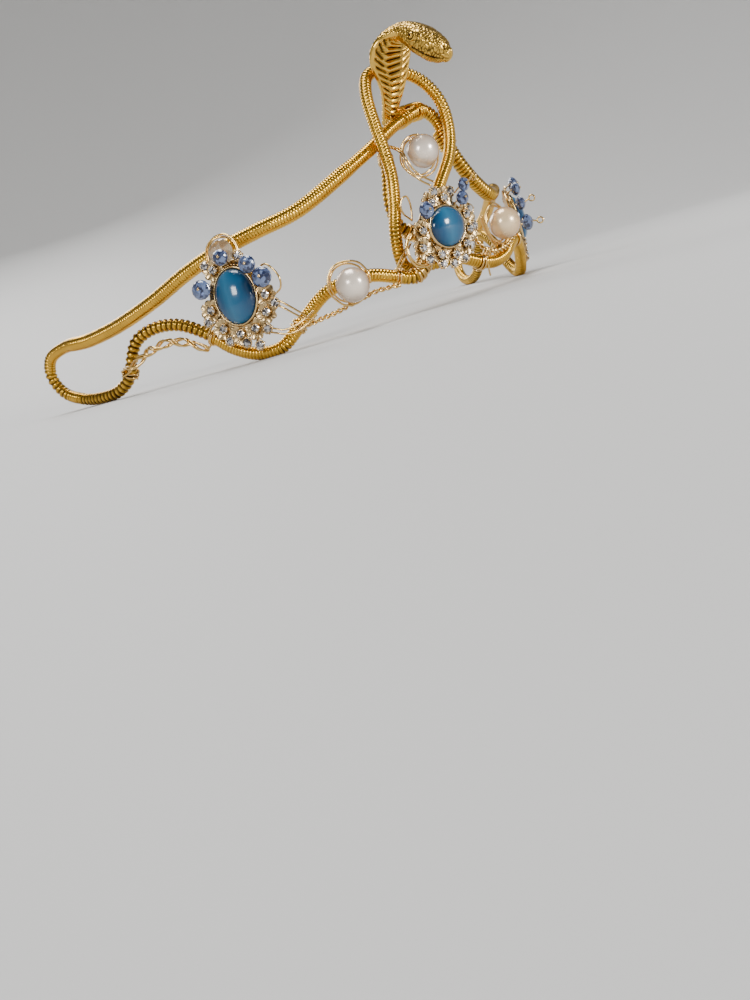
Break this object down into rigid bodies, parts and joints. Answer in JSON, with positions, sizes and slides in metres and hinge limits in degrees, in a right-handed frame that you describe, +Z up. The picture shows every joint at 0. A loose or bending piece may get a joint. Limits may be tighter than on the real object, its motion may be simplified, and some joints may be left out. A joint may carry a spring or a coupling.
{
  "type": "pharaoh headdress",
  "caption": "Open brow crown of bent gold tube with a rearing cobra over a tall front loop, oval blue cabochon brooches, pearls and twisted wire.",
  "frame": {"origin": "under the middle of the crown, on the plane that its lowest bends rest on", "axes": "+X to the wearer's left, +Y to the back of the head, +Z up"},
  "size_m": [0.3116, 0.196, 0.1289],
  "materials": {
    "gold_tube": "polished, finely ribbed",
    "cast_gold": "cast, slightly antiqued",
    "pale_gold": "polished",
    "pearl": "pearl lustre",
    "blue_cabochon": "polished, silky band of light",
    "blue_glass": "faceted",
    "clear_glass": "faceted"
  },
  "bodies": {
    "root": {"arm_lower_left": "gold_tube", "arm_lower_right": "gold_tube", "arm_upper_left": "gold_tube", "arm_upper_right": "gold_tube", "blue_crystal_front_1": "blue_glass", "blue_crystal_front_2": "blue_glass", "blue_crystal_front_3": "blue_glass", "blue_crystal_left_1": "blue_glass", "blue_crystal_left_2": "blue_glass", "blue_crystal_left_3": "blue_glass", "blue_crystal_left_4": "blue_glass", "blue_crystal_right_1": "blue_glass", "blue_crystal_right_2": "blue_glass", "blue_crystal_right_3": "blue_glass", "blue_crystal_right_4": "blue_glass", "braid_left_front": "pale_gold", "braid_left_rear": "pale_gold", "braid_right_front": "pale_gold", "braid_right_rear": "pale_gold", "brooch_setting_front": "pale_gold", "brooch_setting_left": "pale_gold", "brooch_setting_right": "pale_gold", "cabochon_front": "blue_cabochon", "cabochon_left": "blue_cabochon", "cabochon_right": "blue_cabochon", "clear_disc_right": "clear_glass", "cobra_figure": "cast_gold", "crest_loop": "gold_tube", "crossbar_tube": "gold_tube", "pearl_centre": "pearl", "pearl_left": "pearl", "pearl_right": "pearl", "pearl_wire_centre": "pale_gold", "pearl_wire_left": "pale_gold", "pearl_wire_right": "pale_gold", "rear_loop_left": "gold_tube", "rear_loop_right": "gold_tube", "tail_tube": "gold_tube"}
  },
  "joints": []
}
